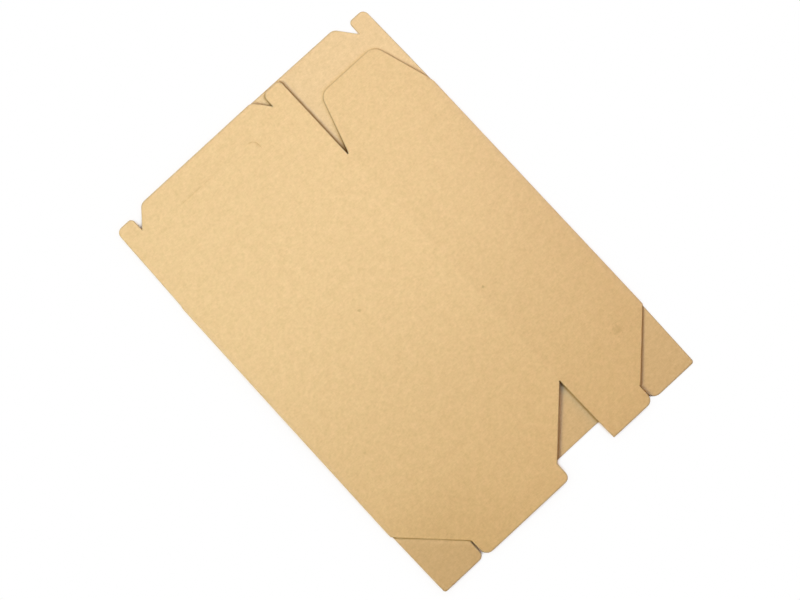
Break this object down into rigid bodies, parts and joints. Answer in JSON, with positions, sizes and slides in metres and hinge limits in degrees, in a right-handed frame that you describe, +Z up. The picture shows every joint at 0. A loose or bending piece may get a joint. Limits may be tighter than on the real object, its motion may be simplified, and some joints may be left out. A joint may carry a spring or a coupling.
{
  "type": "flattened cardboard box",
  "caption": "Kraft board carton folded flat at its side creases, with notched lid flaps, dust flaps and a snap-lock bottom spread out, ready to be squared up and filled",
  "frame": {"origin": "middle of the box's footprint, on the surface it lies on", "axes": "+Z up out of the front panel, +Y from the snap-lock bottom to the lid flaps, +X from the left side fold to the right one"},
  "size_m": [0.1514, 0.2182, 0.0036],
  "materials": {
    "kraft_board": "uncoated, matt"
  },
  "bodies": {
    "root": {"flattened_box": "kraft_board"}
  },
  "joints": []
}
